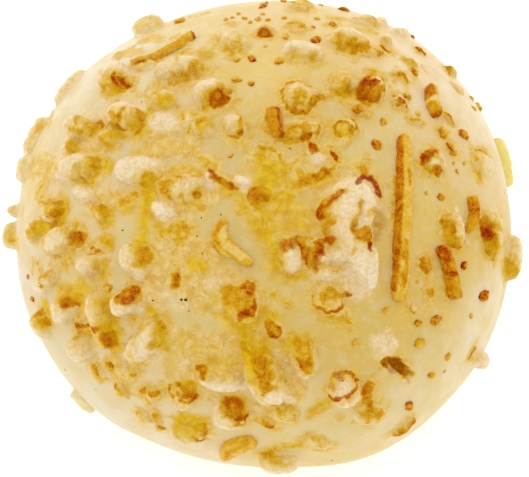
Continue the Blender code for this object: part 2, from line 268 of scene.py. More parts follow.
# Toasting over the cheese and crust, in painting order: depth of colour in hundredths, width in tenths
TOAST_STROKES = strokes("""
22 60 203 70,35 34 250 114 -6 -8,35 16 236 97 -4 -13,35 10 303 153 11 -17,30 16 219 122 -7 -1,
35 14 163 61 -14 -2 -12 2,30 60 132 33,35 20 68 122 -3 5,30 40 441 60 14 -5,30 16 617 92,30 40 336 138 4 -24,
35 12 342 134,30 20 368 111,35 16 394 98,35 12 387 136 4 5,35 30 429 96 10 2,35 30 440 121 4 1,35 6 322 87 -2 -4,
30 20 249 38,35 14 311 43,35 18 326 46 1 -6 -7 -6,30 25 262 110 -3 -9,30 6 472 106 4 2,35 20 463 124 6 0,
35 40 544 88 7 12,35 12 518 122 1 1,30 10 579 83,35 20 25 116 1 8,40 18 315 158 3 0,42 26 180 82,40 14 137 60,
40 12 621 51,42 20 343 115 4 -19,38 30 350 80 4 0,40 24 364 169 5 -6,40 12 394 113,40 7 414 90 2 6 4 -5,
40 20 429 112,42 24 292 86 -5 -5,40 12 275 70 -5 -2,42 10 286 64,42 6 311 63 4 0,42 16 317 85 1 -3,
42 30 277 40 2 -6,38 30 335 87 0 -8,40 12 464 96 -4 -3 3 -5,40 10 465 100 3 6 3 10,40 12 474 97,40 22 480 149 3 4,
42 26 490 118 4 -3 7 -1,42 16 523 94,40 20 548 124 4 4,40 14 499 148 2 0,40 10 442 85 -3 -2,
42 22 128 76 -6 -2 -4 2,40 13 116 56 -7 -10,42 30 108 49 -3 5,40 10 189 22 -5 -5,42 40 125 19 -37 6,
42 20 33 11 7 3,42 24 705 88 -6 -1,42 30 705 120 1 26,42 24 699 154 -4 2,50 8 312 148 3 1,50 14 213 84 0 -8,
45 16 198 71 1 -7,45 30 164 109 -7 -2,50 10 156 59,50 10 139 34,50 10 127 35,50 24 443 79 5 2,52 30 435 47 8 -1,
50 30 357 37 2 -12,50 26 399 35 20 -6,45 20 441 47,50 12 631 47 -4 1,50 24 651 96,45 12 647 97,50 20 587 130,
45 24 593 137,50 20 719 57 -45 4,45 12 348 115 3 2,50 7 356 89 3 -9,50 7 369 110,50 26 385 92 -1 0,
50 12 390 92 5 1,50 8 401 108 0 3,50 10 401 88 7 -7,45 34 380 77 5 -2,50 14 393 76,50 16 410 122 7 -8,
50 12 419 114 3 1,50 10 427 114 2 6,50 20 292 94 0 -8,50 14 266 63 -5 -2 -7 -2 -5 -1,45 20 244 57 -8 1 -6 1,
45 6 255 60 -2 -1,50 6 268 69 0 0,45 7 285 71,50 12 311 70 6 2,50 9 315 91 7 -2,50 12 326 77 4 -5 0 -3,
50 12 334 100 -1 -4,45 20 243 38 -22 4,50 9 316 33 -4 -1,45 12 332 56 8 -2,50 9 336 54 -2 -3 3 -4 2 -2,
50 8 344 76 -2 1,50 9 250 63 -3 4,50 11 266 114 -3 2,50 8 450 140 5 2,50 14 466 140 2 -4,45 14 505 87 8 1,
50 15 487 92 3 3,50 20 526 59 2 3,50 11 557 60 5 2,50 6 547 90 1 0 3 6 -1 -1,50 7 549 95 4 8,
50 13 552 83 5 -4 5 1,50 9 557 84 3 -1,50 12 557 109,45 6 547 124 4 -2,50 13 536 127 1 4,45 6 533 132 2 -1,
50 15 517 120 4 -2 4 0,45 15 503 141 0 4,45 15 543 161 5 3,45 15 562 145 4 2,45 16 565 125 6 -4,45 16 577 131,
50 17 587 69 10 6,50 20 600 71 -2 4,50 11 123 99 -4 4,50 15 122 75 -6 0,50 11 92 99,50 11 87 80 -2 1,
45 8 88 84 -3 3,50 30 133 33,50 14 475 39 13 2,45 12 256 25 6 -3,45 14 252 15 -7 -4,45 13 50 24 -5 7,
52 30 234 7 -62 0,50 20 191 10,50 22 42 7 655 0,50 20 647 10 18 4 18 2,50 22 335 25 11 -6,50 15 371 26 -8 -2,
50 11 390 26 11 1,50 22 574 12 22 2,52 26 483 17 38 -1,50 7 602 13 -5 4 -21 2,45 10 563 45 14 0,50 13 593 32 14 2,
45 24 600 47 13 6,50 17 539 55 8 0,52 20 588 58 7 0 7 5,52 15 465 47 5 1 8 4,50 11 14 71 -2 2,50 11 701 87 -4 0,
50 8 712 117 -4 0,45 8 712 121 5 18,50 15 666 96 -8 10,60 12 200 92,55 12 211 69 -3 -5 -5 2,62 14 157 111,
60 13 159 80 -5 3,55 9 142 104 -7 3,55 16 140 59,62 22 379 63 -2 -3 -1 -4,60 30 426 63 6 1,55 14 433 68,
60 12 435 66,60 30 372 41 15 -1,62 30 422 49 6 -7,62 34 431 42 8 -2,62 30 9 39 -5 3,55 12 677 38 -10 1,
60 18 672 43 6 4,60 20 647 42 9 4,62 14 590 143,55 7 341 122,55 14 352 76 5 3,60 12 354 125 -2 -5,
55 16 357 119 9 -16,55 8 361 113 -1 -2,55 8 374 120 2 3,60 9 366 171,55 10 372 158,55 10 396 97 4 6,
60 8 390 131 4 -1,62 9 416 83 4 4,62 16 416 112 5 -5,60 9 434 94 6 2,60 20 450 104 4 7,60 14 454 114,
60 20 434 123 4 -6,62 14 413 144 -1 0,55 16 280 83 1 -2,55 12 258 86 -5 -17,60 8 273 69 -4 -2,55 6 260 63 0 -1,
60 7 276 62 -1 -3,62 12 283 57 1 -3 -5 -2,55 10 304 66 0 -2,55 9 318 69 -2 -6,58 20 314 60 -13 -1,
60 11 324 95 0 -7 0 -3,58 9 317 83 -4 2,60 11 310 72 2 -4,62 14 327 71 -3 -3,60 7 327 77 4 -4,
60 9 339 91 -6 4 -2 -3,55 9 288 41 -8 2 -6 0,58 15 287 32 -10 0,62 9 303 33 3 -3,60 9 242 80 -6 -3,60 7 259 115,
62 13 455 126 4 1,60 7 456 123 3 0,55 6 462 128 3 0,60 6 467 134 2 2,60 6 479 131 1 -2,55 16 501 114 2 5,
60 18 508 59 0 4,62 14 514 60 5 3,60 15 539 90 4 -3,62 17 566 80 1 4,62 8 543 114 5 8 5 -3,55 8 554 119 1 5 0 7,
60 9 519 119 2 1,60 15 549 155 8 -1,60 9 544 159 5 -3,55 8 563 153 3 -2 0 10,60 11 567 161 3 -1,
58 10 575 107 2 -5,62 8 453 92 2 -1,62 20 465 83 7 4,62 34 593 60,60 9 122 112 -3 -1,60 13 129 76 -3 -2,
60 8 118 74 -6 4,62 9 82 94 -2 0,62 11 97 48 -10 5,60 13 96 71 -1 2,55 18 81 56 -2 1,55 13 60 35 -8 0,
55 7 70 69 3 3 0 3,62 24 95 70 -4 -10,60 14 677 38 -15 1 -9 1,55 26 232 38 24 0,60 16 174 26 -4 -10,
55 14 126 15 14 -3,58 32 114 18 -22 3,60 6 102 23 -6 4 -10 1,60 13 114 14 -25 3,64 11 225 6 -40 -2,
62 9 148 10 -42 -2 -39 -2,55 11 685 9 -21 2,55 24 719 13 -17 3 -19 0 -22 -3,60 11 718 25 -705 3,60 15 507 14 38 0,
55 11 561 37 -1 5,60 34 505 57 12 4,62 8 17 78 -2 2,55 15 16 112 -4 2,62 17 689 89 -3 4 0 8,62 20 698 153 -4 7,
58 24 667 82 -5 4,70 14 163 85 -6 1,65 16 131 32,72 11 45 100 -1 1,72 22 363 47 6 3,74 18 427 62 5 1,
72 16 374 37 9 3,70 26 461 60 3 4,70 7 363 37 8 -5,72 14 657 39 -10 1,70 18 654 93 -2 1,70 16 591 130 5 4,
65 12 342 72 6 1,72 14 369 100,70 8 372 101 1 2,65 9 395 108 -1 4,72 14 400 121 1 -4,70 9 377 74 5 -3 5 0,
70 8 386 77 4 -2,68 18 421 112 3 -3,72 12 409 141 1 6,66 16 288 83 -5 -1,70 7 282 81 -1 1,65 16 267 91 -7 -5,
66 8 264 63 -5 -2,66 7 253 60 -4 -2,66 8 245 58 -4 0 -5 1,65 10 322 84 -4 -2 -3 -5,70 12 241 37 -9 1 -10 4,
65 10 259 39 -10 -2,70 7 286 41,65 8 278 37 -5 -1,70 9 298 36 -9 0,65 8 227 73 -3 0,70 15 462 82 5 2 5 2,
68 14 474 93 2 2,72 9 469 121 2 -2,65 11 481 134 2 1,72 7 478 149 2 11,67 14 486 144 2 4,66 11 541 69 2 3,
72 16 535 84 5 -1,66 15 540 100 4 -2,72 13 560 80 3 -1 0 2,70 9 567 87 -1 5,70 9 529 121 2 5,66 20 507 142 3 -1,
72 9 510 140 2 9,70 7 497 151 1 3 4 2,70 11 538 164 5 -4,72 8 581 58 -2 4 2 3,70 9 589 68 2 1,66 40 523 56 2 5,
74 26 535 84 3 6 3 8,74 24 543 70 4 5,70 24 561 79 4 3 -1 6,66 34 500 114,70 30 521 119 4 1,72 11 141 95 -4 -1,
70 9 121 74 -2 3,72 9 121 75 -3 0,65 14 111 79 -1 5,68 9 89 98 -4 2,70 9 94 119 -2 -1,66 15 101 47 -7 7,
72 11 78 47 -7 1 -4 3,70 8 68 79,65 13 50 74 -4 4,72 12 40 90 -4 2,74 50 82 56,70 7 140 34 -6 2 -7 -2,
70 7 139 32 -8 -1 -6 1,70 30 97 51,70 9 230 27 -4 -3 6 -5 15 -2,72 11 232 21 6 -3,72 7 85 28 -9 -1 -9 -4,
70 7 129 19 -12 -2,70 8 52 16 -12 1,72 10 92 8 -36 -1,70 26 693 15 9 5 16 5,65 9 351 22 4 -1,
70 15 386 19 27 -4 9 -2,66 11 523 15 11 4 3 5,72 22 597 38 -5 5 -1 2,65 12 636 30 -9 5 -5 3,72 9 643 29 -5 4,
72 24 506 55 9 0 -6 6,66 8 529 52 1 5,72 7 589 58 1 0,66 14 686 31 -12 -3 -18 -2 -17 3,74 20 523 53,
70 17 26 79 -8 -6,70 15 11 75 -3 7,70 7 28 113 1 7 -1 7 -2 4,70 6 25 112 -4 -1,72 15 709 116 -7 0 -4 2,
72 8 693 122 0 13,70 7 694 153 4 0,77 7 155 35 3 3 -4 5 -9 3 -13 -5 -12 0 -8 1 0 -6 1 -4 11 -3 16 0 12 3 3 3,
85 11 143 29 -13 -1 -13 2,81 10 115 39 1 -4 -1 -2,85 8 645 41,78 10 637 91 -1 3,82 22 591 117 4 -3,
83 8 589 131 -1 4,78 19 600 164 9 -3,83 11 342 77 6 -1,83 7 360 119 7 -15,85 14 376 107 0 4,80 24 391 90 3 2,
83 12 377 80 -2 -2,81 12 401 77 4 -1,82 20 448 105 5 5,81 8 287 82 -1 3,83 9 280 61,85 7 302 65 6 1 6 1 3 2,
78 6 306 65 5 0 3 1,78 8 316 74 1 -7,83 9 313 84 3 -3,78 7 449 136 2 -4 4 2 2 2,78 9 477 129 2 -3,
83 8 489 118 1 5 4 -2,85 8 493 115 5 0 4 1 2 3,82 13 526 82 1 3 2 1,85 20 545 72 5 1 -2 3,80 15 535 88 3 6 3 5,
78 16 560 85 3 2 2 4,85 13 539 130 4 4,83 11 526 127 4 2,78 8 597 75 3 3,80 26 523 119 5 2,80 24 592 126 -1 -7,
78 11 107 83 -4 0 1 5,78 8 102 91 -2 4,81 9 83 82 -3 2 -2 0,83 9 98 51 -7 2,78 9 87 72 -9 -8,
78 7 72 35 -9 -2 -10 0,85 8 71 36 -6 2 -11 1,83 7 72 39 -7 3 -8 -1 -1 -2,83 9 69 70 -5 -1,78 8 50 97 -4 2,
78 9 80 132 -4 -3,82 16 652 44 -5 2,75 24 238 36,85 9 261 20 -8 -3 -15 1,83 9 115 19 -16 2 -14 -1,
85 24 569 33 18 -1 2 6,80 20 524 64,80 16 415 14 -35 4,85 9 692 89 2 0,83 10 685 94 1 7,78 17 699 118 -4 4 -2 8,
83 7 667 80 -6 2 -1 5 5 0 4 -3,88 24 441 82 2 -3,90 17 461 60 3 4,87 24 644 44 6 3,92 13 653 157 -5 0,
93 5 609 108 4 1,95 10 417 114 3 1 4 -4,95 11 431 122 4 -7 8 -12,93 9 441 105 2 1,88 9 317 60 -3 -1 -7 -1 -8 2,
93 7 306 58 -8 0,88 9 322 79 -3 -1,88 9 246 37 -11 0,88 8 288 33 -7 -1,88 9 469 84 5 3,88 10 465 135,
88 9 482 127 3 -2,88 8 495 118 3 0 3 -2 2 1,93 7 498 121 3 0 2 -1,88 12 501 102 3 -2 1 3,91 8 531 58 1 5 -2 2,
95 15 536 85 3 2,95 8 536 91 2 5,88 8 539 103 2 -3,93 7 560 86 1 4,95 6 564 86 3 -1,93 8 507 147 5 7,
88 8 593 67 6 -1,87 12 579 101 6 0 3 3,88 9 116 75 -1 1,93 11 93 63 -5 -7,90 12 75 57 1 2 3 4,
90 8 80 56 -6 2 -1 2,88 9 86 19 -7 3,93 8 26 29 -7 1,90 17 704 18 4 4 -707 2,95 8 404 14 24 -1,88 11 400 28 4 1,
86 34 505 11 29 -1,95 10 568 31 2 2 3 0,88 9 588 36 3 3 -3 3,88 9 600 41 -7 5,95 13 606 37 -2 3 -4 1,
95 15 520 52 6 0 0 4,90 13 10 77 -2 4,88 8 30 92 -4 2 -2 1,93 8 27 125,93 6 24 129 -3 0,88 17 696 87 -1 1,
88 7 666 83 -3 2,100 7 641 44 6 2,98 11 367 100 -1 0,98 10 371 100 2 1 2 4,98 8 392 91 -3 -1 1 0,
100 9 402 86 4 -2,104 13 415 144 2 0,98 10 267 88 -4 -3,97 14 246 37 -9 0 -8 0,98 12 520 66 1 3,103 8 546 69 5 2,
100 8 547 75 2 2,98 8 540 131 3 4,102 15 522 118 3 0 3 2,100 8 583 64 4 2 5 1,100 8 590 108 -2 -1 -4 2,
103 12 445 82 1 -1,103 11 106 92 -3 0,103 12 66 70 -5 3,100 22 59 21 -8 0,98 12 360 21 14 -2 10 -3 11 1,
103 9 538 11 8 1,98 7 491 9 35 -1,98 9 580 31 6 2 2 3,100 7 588 40 -1 3,100 10 614 37 10 2 -1 2,
98 10 683 30 -9 -2 -14 -1 -15 0 -8 2,97 9 606 63 3 2,105 11 183 76 -7 -1,113 6 616 115 0 2 -2 3,
111 11 447 104 3 4 3 3,105 13 283 82,113 6 287 84 -5 1,114 15 525 64 -3 3,115 9 526 124 3 -1 2 2,
105 10 574 113 4 -3 4 0,114 15 89 57 -4 2 -1 3,106 15 86 54 -3 0 1 1,114 17 607 39 2 1,105 15 23 76 -4 -3 -4 0,
105 17 706 115 -6 2,124 11 702 35 15 6 -2 4 -6 3 -10 2,122 11 36 28 -12 1,116 9 524 54 3 1,120 8 20 73 -4 0,
120 8 704 116 -3 1,127 12 647 50 -5 1
""", 100, 10)

# Pale, milky cheese: strength in hundredths, width in tenths
WHITE_STROKES = strokes("""
60 24 162 63 -13 0 -9 -1,35 30 350 60 1 -14,35 30 424 66 9 4,70 36 397 47 10 -3,40 40 462 71 11 0,
75 80 688 35 -1 4,50 50 666 37 -20 2,75 65 625 53 -5 11,80 9 678 41 -14 0 -11 1,55 40 609 97 5 0,
50 22 610 101 7 0,40 24 608 93 5 2,60 22 347 91 6 3,40 20 344 89 1 -13,30 30 362 88 5 -6,60 16 369 102 4 3 1 4,
40 40 411 84 5 0,30 40 397 118 -6 -23,30 30 422 117 4 1,35 25 437 122 8 1,40 12 437 122 7 1 6 1,
50 30 281 99 -6 -10,40 30 261 64 -15 -6,40 14 278 56,50 40 297 64 5 -5,40 24 308 100 4 -25,30 14 324 75,
60 12 331 106 -5 -7,50 30 245 43 -15 -2,50 24 298 46,70 16 246 63,40 34 468 87 1 6 5 11,40 8 467 136,
40 10 481 129,35 12 495 116 2 0,30 12 500 118,60 16 494 101,80 16 507 106 10 -1 11 2,50 10 560 82,
90 26 544 106 9 10,35 30 517 122 5 5,30 30 510 166 5 4,40 16 562 153,55 36 580 104,50 24 581 107 -4 1,
50 30 448 84 4 1,40 20 591 62,40 30 127 78 -3 3,60 20 109 103 -3 -2,30 30 100 55 -4 3,35 10 64 39,50 9 70 74,
35 20 482 34 17 4,40 26 355 25 25 -1,45 20 238 25,30 20 132 22 -15 1,100 14 47 18,50 24 33 21 -14 1,
85 18 368 22 22 -1,50 16 397 21,85 22 408 10 30 -2,50 16 450 11,70 12 510 19,50 30 575 35 -4 6,90 22 606 44 -4 2,
35 30 592 48 15 5,30 30 617 46 6 2,35 14 518 55 4 2,50 30 487 56 15 -2,50 18 14 76,35 26 21 119,90 13 708 95,
40 16 700 90,60 11 690 104
""", 100, 10)

# Yellow fat that has run out of the cheese: strength in hundredths, width in tenths
OIL_STROKES = strokes("""
40 15 237 121 -3 -1,100 28 369 47 10 3 16 3 15 5 7 3,80 16 397 50 13 0 13 -1,50 20 388 63 -1 -4,70 22 223 0 -188 4,
95 26 498 5 80 1 96 0 -665 1,80 26 533 17 23 4 17 3,90 24 536 28 29 1 25 1 18 -1,80 22 464 15 30 4 29 5 23 5,
100 20 615 12 -10 5 -17 1 -19 1,100 16 590 19 10 4 10 3,90 14 625 20 -4 5 -12 6,90 20 549 28 3 5 2 7 -4 5,
70 14 554 47 11 3 13 -2,80 26 464 50 12 0,50 16 540 55 9 0,60 14 385 61 11 -1,75 50 576 22 31 0,60 40 522 6 153 1,
70 14 351 82 5 5 2 -6 -3 -3 -6 -1,90 26 344 76 2 -4,95 30 369 100 3 1 5 3,60 20 372 98 6 1,100 30 374 117 1 -1,
70 34 377 120 7 -12,35 16 359 146,40 20 362 169,60 20 395 99 4 5,50 16 401 107,80 16 414 83 5 3 1 4,
30 20 411 84 5 0,90 16 383 70 7 2 2 3,90 22 402 77 4 0,80 26 411 117 5 -6 4 -6,50 18 419 102 6 -7,
60 16 427 110 2 6,90 16 432 94 7 2 5 3,100 26 445 100 5 5 4 7,100 24 409 139 5 1,70 20 416 144,50 16 288 89 -4 0,
40 20 292 92 -2 -7,50 20 234 59 -3 0,40 12 255 59,90 20 283 56 0 -3 -6 -1,50 10 284 72,90 30 313 59 -8 0 -8 -1,
50 16 322 84 -4 -3,95 24 327 71 -4 -3,95 18 335 96 -3 -3,60 14 258 39 -9 -1,90 22 289 30 -13 1,50 16 325 38 -5 -4,
40 16 334 56,30 20 337 50,80 18 228 69 -4 -2,50 12 256 70,30 10 308 79,90 16 458 82 7 1 9 5,70 16 475 90 4 5 3 3,
90 20 475 94,50 14 475 90 0 -1,70 20 452 136 4 2,80 16 456 127 2 0,50 10 470 122,40 10 469 135,70 12 485 130,
60 14 482 134,50 14 490 155 1 6,70 20 497 113 5 1,50 10 501 105,45 30 510 97 15 -3,50 12 497 92 7 2 10 0,
40 18 492 68 4 -3,80 16 488 92,50 24 485 103 2 6,60 30 506 59 7 6,80 30 512 70 10 4 6 -4,90 26 525 75 3 6 3 4,
60 20 533 68 -2 9 3 5,90 18 538 63 5 3 8 0,60 16 555 59 6 3,100 30 532 86 4 -2 5 -2,90 26 530 87 2 4 2 6,
60 16 548 91 2 3,80 30 555 82 7 -3 5 2,50 14 557 110,70 14 545 114 8 6,50 14 536 129 5 0,80 16 529 117 1 5,
70 20 520 119 6 -1,100 34 501 140 3 -1 4 -1,80 30 501 147 4 -1,80 16 549 154 8 -1,60 20 543 161 2 -3,
40 16 564 146 3 4,90 26 564 125 4 -4 3 -2,50 20 586 71 7 4,70 12 577 103 0 -1,70 12 453 90,40 16 132 75,
50 16 110 84 -4 0,80 16 92 97 -4 1,60 30 103 47 -11 6,50 30 79 56,80 20 59 35 -8 1,50 10 55 81,
60 14 219 21 -6 -4,60 14 248 14 0 -3,80 30 203 4 17 -2,90 26 38 4 643 1,50 20 656 14 -32 0,60 24 692 21 19 7,
80 16 406 17 23 -2,90 30 569 11 30 2 -4 3,95 20 619 15 -8 2 -14 2,80 16 562 45 4 3 11 -1,60 20 469 52 7 -2,
60 16 15 71 -4 2,70 14 14 111 -3 2,70 16 688 90 -3 13,80 20 696 120 -2 16,70 26 695 155 -3 5
""", 100, 10)

# Mottled sheets of melted cheese: strength in tenths, width in millimetres
MELT_STROKES = strokes("""
10 7 399 44 31 0,10 6 373 39 22 -12,8 5 320 52 -1 -20,10 7 431 63 16 -7 26 -11,10 7 448 72 19 -9 22 -1,
10 6 485 92 17 -5 19 -2,10 5 498 101 25 -4,10 6 506 55 13 12 6 16,10 5 532 88 8 10,10 6 552 92 3 12,
10 6 197 6 515 -2,10 5 692 14 -683 12,10 5 490 13 45 9,10 4 126 16 -40 9,10 3 12 30 -9 6 16 7,10 4 598 49 15 8,
8 4 595 54 -5 19,8 4 320 85 -2 -11,8 5 420 104 22 -7,8 4 369 78 13 -18,7 4 374 121 -3 -20,7 4 558 30 5 13,
6 3 511 60 32 -2,6 4 541 68 11 17,7 4 501 139 7 6,6 3 542 123 14 3,7 3 561 144 11 16,5 4 336 136 11 -22,
5 4 196 96 -15 5,5 4 158 94 -29 -13,5 4 397 110 12 -6,5 4 422 84 14 -9,8 4 415 22 -5 -4,7 4 537 35 14 5
""", 10, 1)

# Soft golden washes round the toasting: strength in hundredths, width in tenths
WASH_STROKES = strokes("""
80 30 224 9 -133 -7 553 6,60 40 668 11 -666 16,70 34 478 16 57 8,60 30 538 14 67 0,70 45 505 57 12 10 7 17,
40 40 626 92 -7 14,35 60 657 104 -11 28,40 30 6 79 713 8,40 30 560 52 12 7,35 50 660 83 -30 9,40 24 269 19 -13 -9,
35 40 699 72 -21 9,30 50 18 50 644 8,80 50 286 4 -255 4,80 40 488 16 63 -1,50 30 537 40 18 9,40 40 435 64 36 -12,
40 30 347 23 -16 -3,50 30 432 96 18 9,50 30 411 117 10 -11,60 36 378 120 -3 -9,40 30 404 105 -4 -12,
60 40 499 91 23 -2,40 24 509 89 15 3,70 30 531 84 8 12,60 30 542 159 15 -5,35 40 582 82 11 9
""", 100, 10)

# Pale flakes lying in the yellow fat: width in tenths
FLAKES = strokes("""
24 565 20 18 2,14 600 20,28 559 28 21 1,20 612 18 12 4,24 584 29 20 2,16 600 23 8 3,14 598 15,12 638 7,
16 551 23,20 615 127 3 -1
""", 10)

# Crumbs: size in tenths, depth of colour in hundredths
CRUMBS = strokes("""
26 40 227 118,20 85 191 59,16 45 204 60,22 60 167 56,10 35 179 68,18 40 165 75,19 60 210 47,16 65 195 43,
22 72 181 114,12 60 179 121,16 50 184 95,14 50 178 93,13 40 181 102,14 45 192 98,12 40 195 106,12 40 199 102,
14 40 203 101,12 50 189 92,14 45 168 95,12 55 149 88,14 45 149 99,12 35 151 127,18 65 139 95,24 70 139 128,
16 50 170 124,24 82 144 76,12 50 109 42,16 55 190 10,12 60 307 14,12 0 47 18,22 65 75 47,18 70 105 144,
20 62 94 121,12 50 91 122,21 55 82 96,15 40 62 142,14 45 55 134,23 45 59 153,19 50 55 57,27 72 34 49,
14 50 71 71,17 55 68 78,14 40 54 80,25 62 38 91,27 74 37 107,18 65 29 93,18 72 25 95,10 50 18 94,10 55 19 102,
20 50 429 90,12 65 391 148,14 60 400 136,10 50 404 125,15 65 401 153,9 40 652 85,17 42 624 83,18 10 639 92,
18 75 635 101,26 82 644 109,33 86 674 135,20 97 679 108,14 0 691 105,18 70 713 84,10 45 713 75,12 55 13 96,
12 50 661 132,20 60 457 126,22 40 490 158,18 45 597 88,26 50 629 111,18 62 638 135,20 50 626 136,8 50 633 143,
24 90 610 146
""", 10, 100)

# Charred specks: size in hundredths
SPECKS = strokes("""
38 241 125,38 290 67,45 89 13,38 41 19,38 373 105,38 416 91,60 341 162,45 377 170,45 401 67,45 457 77,
68 474 69,38 454 25,38 435 32,38 450 39,38 468 44,38 483 73,75 477 68,38 12 149,52 435 169,30 455 153,
30 472 141,38 459 101,38 582 103,45 571 181
""", 100)

# ------------ places on the crust


def swell(bearing):
    """The outline's radius at the widest level, as a share of the even one. The bearing is in degrees."""
    share = 1.0
    for middle, spread, amount in SWELLS:
        away = (bearing - middle + 180) % 360 - 180
        share += amount * np.exp(-((away / spread) ** 2))
    return share


def direction_of(bearing, drop):
    turn = math.radians(bearing)
    fall = math.radians(drop)
    flat = BUN_RADIUS * swell(bearing) * abs(math.sin(fall)) ** (2 / FULLNESS)
    rise = CROWN_RISE if drop < 90 else BELLY_DEPTH
    upright = rise * math.copysign(abs(math.cos(fall)) ** (2 / FULLNESS), math.cos(fall))
    return Vector((flat * math.cos(turn), flat * math.sin(turn), upright)).normalized()


def bare_points(unit):
    """Points of the smooth crust form, in millimetres, in many directions from the middle."""
    bearing = np.degrees(np.arctan2(unit[:, 1], unit[:, 0]))
    flat = np.hypot(unit[:, 0], unit[:, 1]) / (BUN_RADIUS * swell(bearing))
    upright = np.abs(unit[:, 2]) / np.where(unit[:, 2] > 0, CROWN_RISE, BELLY_DEPTH)
    reach = (flat**FULLNESS + upright**FULLNESS) ** (-1 / FULLNESS)
    return unit * reach[:, None]


def on_surface(tree, direction):
    """The point and outward normal of a surface in a direction from the middle of the bun."""
    point, normal, _, _ = tree.ray_cast(MIDDLE, direction)
    return point, normal if normal.dot(direction) > 0 else -normal


def surface_tree(thing):
    mesh = thing.data
    return BVHTree.FromPolygons([v.co.copy() for v in mesh.vertices], [tuple(p.vertices) for p in mesh.polygons])


def seat(tree, places):
    """Centre, length and a turn whose Z stands out of the surface and whose X runs along the places."""
    start, end = (on_surface(tree, direction_of(*place))[0] for place in (places[0], places[-1]))
    centre, out = on_surface(tree, (start + end) / 2 - MIDDLE)
    along = end - start
    length = along.length
    if length < NO_LENGTH:
        along = DAB_HEADING
    sideways = out.cross(along).normalized()
    return centre, length, Matrix((sideways.cross(out), sideways, out)).transposed()


# ------------ modelling steps


def select_only(*things):
    bpy.ops.object.select_all(action="DESELECT")
    for thing in things:
        thing.select_set(True)
    bpy.context.view_layer.objects.active = things[0]


def finish_with(thing, kind, **settings):
    """Adds a modifier with its settings and applies it."""
    select_only(thing)
    modifier = thing.modifiers.new(kind.lower(), kind)
    for key, value in settings.items():
        setattr(modifier, key, value)
    bpy.ops.object.modifier_apply(modifier=modifier.name)


def join_as(things, name):
    select_only(*things)
    if len(things) > 1:
        bpy.ops.object.join()
    things[0].name = things[0].data.name = name
    return things[0]


def copy_of(nodes, name):
    """One object from copies of CAD nodes, with the loose triangles merged and paired into quads."""
    twins = []
    for node in nodes:
        twin = bpy.data.objects.new(name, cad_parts[node].data.copy())
        bpy.context.scene.collection.objects.link(twin)
        twin.data.materials.clear()
        twins.append(twin)
    thing = join_as(twins, name)
    bpy.ops.object.mode_set(mode="EDIT")
    bpy.ops.mesh.select_all(action="SELECT")
    bpy.ops.mesh.remove_doubles(threshold=1e-6)
    bpy.ops.mesh.tris_convert_to_quads()
    bpy.ops.object.mode_set(mode="OBJECT")
    return thing


def root_in_crust(thing, pinch):
    """Pulls the undersides of cheese towards the middle of the bun, so it grows out of the crust."""
    mesh = thing.data
    inward = [f.normal.dot((f.center - MIDDLE).normalized()) < INWARD for f in mesh.polygons]
    mesh.vertices.foreach_set("select", [False] * len(mesh.vertices))
    mesh.edges.foreach_set("select", [False] * len(mesh.edges))
    mesh.polygons.foreach_set("select", inward)
    select_only(thing)
    bpy.ops.object.mode_set(mode="EDIT")
    bpy.ops.mesh.select_mode(type="FACE")
    bpy.ops.transform.resize(value=(pinch,) * 3, center_override=MIDDLE)
    bpy.ops.object.mode_set(mode="OBJECT")


def finish_piece(piece, material, nodes=()):
    """Gives a finished piece its material and its row in the table."""
    piece.data.materials.clear()
    piece.data.materials.append(material)
    piece.data.shade_smooth()
    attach(piece, "root")
    if nodes:
        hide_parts(*nodes)


# ------------ values carried by the vertices


def smoothstep(low, high, values):
    share = np.clip((values - low) / (high - low), 0, 1)
    return share * share * (3 - 2 * share)


def vertex_array(mesh, what="co"):
    values = np.zeros(len(mesh.vertices) * 3)
    mesh.vertices.foreach_get(what, values)
    return values.reshape(-1, 3)


def from_middle(mesh):
    """Distance of each vertex from the middle of the bun, in millimetres, and its direction."""
    outward = vertex_array(mesh) / MM - np.array(MIDDLE) / MM
    reach = np.linalg.norm(outward, axis=1)
    return reach, outward / reach[:, None]


def store(mesh, name, values):
    attribute = mesh.attributes.new(name, "FLOAT", "POINT")
    attribute.data.foreach_set("value", np.asarray(values, np.float32))


def swell_noise(spots, size, seed=0.0):
    """Soft noise between about -1 and 1, whose blobs are about size millimetres across."""
    shift = Vector((seed, 0, 0))
    return np.array([noise.noise(Vector(p) / size + shift) for p in spots])


class Brush:
    """Strokes over a skin: how near each vertex lies to a stroke, measured along the smooth crust."""

    def __init__(self, mesh, wander):
        spots = bare_points(from_middle(mesh)[1])
        # Wander in two sizes and a fray along the edges, so strokes look melted rather than drawn
        drift = np.array([noise.noise_vector(Vector(p) / 2.4) for p in spots])
        ripple = np.array([noise.noise_vector(Vector(p) / 0.8) for p in spots])
        self.spots = spots + wander * (drift + 0.4 * ripple)
        self.fray = wander * (0.9 * swell_noise(spots, 1.5, 11.0) + 0.6 * swell_noise(spots, 0.6, 13.0))

    def mask(self, places, width, inner, outer):
        """Vertices near a stroke, and 1 on it falling to 0; inner and outer are shares of half its width."""
        way = bare_points(np.array([direction_of(*place) for place in places]))
        middle = way.mean(0)
        room = np.linalg.norm(way - middle, axis=1).max() + width * outer / 2
        near = np.where(np.abs(self.spots - middle).max(1) < room)[0]
        spots = self.spots[near]
        distance = np.full(len(near), np.inf)
        for start, end in zip(way, way[1:]) if len(way) > 1 else [(way[0], way[0])]:
            along = end - start
            share = np.clip((spots - start) @ along / max(along @ along, 1e-9), 0, 1)
            distance = np.minimum(distance, np.linalg.norm(spots - start - share[:, None] * along, axis=1))
        return near, 1 - smoothstep(inner, outer, distance / (width / 2) + self.fray[near])


def crownward(normals, unit):
    """How far each normal leans up the bun, towards the crown."""
    uphill = np.array([0, 0, 1.0]) - unit * unit[:, 2:3]
    uphill /= np.maximum(np.linalg.norm(uphill, axis=1), 0.2)[:, None]
    return (normals * uphill).sum(1)


